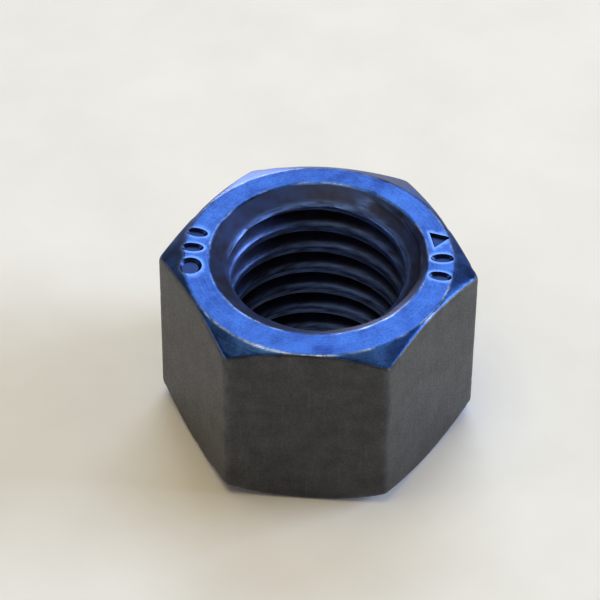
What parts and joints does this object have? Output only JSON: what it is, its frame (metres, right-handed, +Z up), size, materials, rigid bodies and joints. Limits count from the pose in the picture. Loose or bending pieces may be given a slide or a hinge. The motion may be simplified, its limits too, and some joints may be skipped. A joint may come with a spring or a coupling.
{
  "type": "hex nut",
  "caption": "Blackened steel hex nut with a coarse right-hand metric thread, chamfered at both ends.",
  "frame": {"origin": "centre of the lower bearing face, on the thread axis", "axes": "+Z up along the thread axis, +X towards a corner of the hexagon, +Y towards a flat"},
  "size_m": [0.0218, 0.019, 0.014],
  "materials": {
    "black_oxide_steel": "black oxide with a blue sheen on the turned end faces, darker and matt on the forged flats"
  },
  "bodies": {
    "root": {"hex_nut": "black_oxide_steel"}
  },
  "joints": []
}
